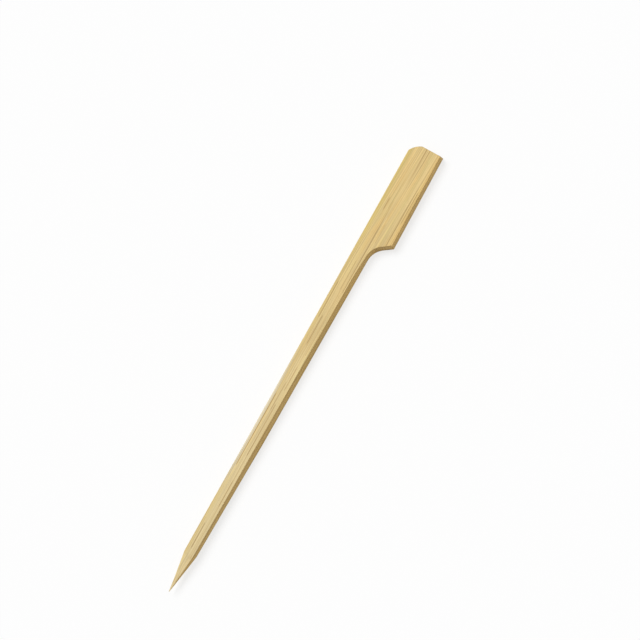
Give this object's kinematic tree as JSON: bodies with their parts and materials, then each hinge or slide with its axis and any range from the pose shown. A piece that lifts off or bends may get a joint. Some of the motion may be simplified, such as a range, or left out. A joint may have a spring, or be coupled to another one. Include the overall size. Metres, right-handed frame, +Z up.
{
  "type": "bamboo skewer",
  "caption": "Flat bamboo paddle skewer with a clipped-corner grip, a long stem along one edge and a ground point.",
  "frame": {"origin": "on the table that the skewer lies on, under the middle of its outline", "axes": "+X along the skewer from the point to the grip, +Y towards the straight edge, +Z up out of the face"},
  "size_m": [0.1506, 0.0102, 0.003],
  "materials": {
    "bamboo": "bare split bamboo, planed and tumbled, satin, with fine lengthwise fibres and a rougher sawn butt end"
  },
  "bodies": {
    "root": {"skewer": "bamboo"}
  },
  "joints": []
}
